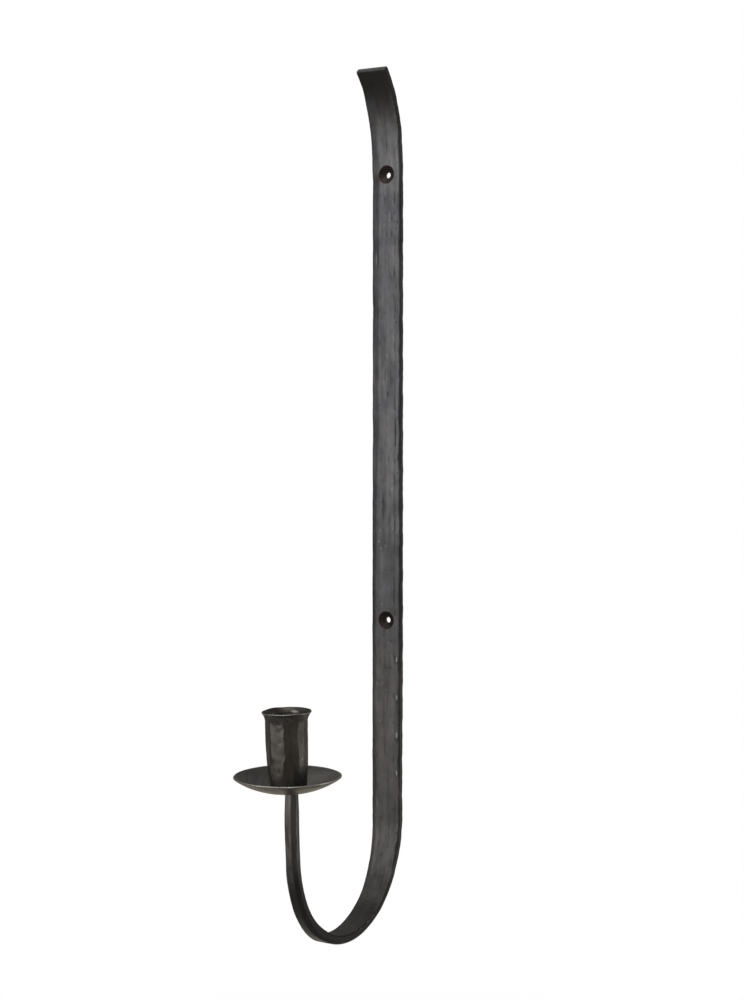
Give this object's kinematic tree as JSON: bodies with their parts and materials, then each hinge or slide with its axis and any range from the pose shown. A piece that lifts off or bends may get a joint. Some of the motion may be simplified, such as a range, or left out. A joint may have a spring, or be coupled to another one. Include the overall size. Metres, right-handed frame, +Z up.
{
  "type": "wall candle holder",
  "caption": "Forged iron wall candle holder: a flat strap with countersunk screw holes, bent at its foot into a round arm with a drip pan and a candle socket.",
  "frame": {"origin": "on the wall plane, midway between the two screw holes", "axes": "+Z up, +Y into the wall, the arm stands out towards -Y, +X to the right as seen from the room"},
  "size_m": [0.0612, 0.1399, 0.5205],
  "materials": {
    "forged_iron": "hammered, blackened and waxed, worn grey on the faces",
    "sheet_iron": "blackened sheet, warm brown-black, bright at its cut edges",
    "screw_steel": "plain turned steel"
  },
  "bodies": {
    "root": {"hook_bar": "forged_iron", "drip_pan": "sheet_iron", "candle_socket": "sheet_iron", "socket_floor": "sheet_iron", "fixing_screw": "screw_steel"}
  },
  "joints": []
}
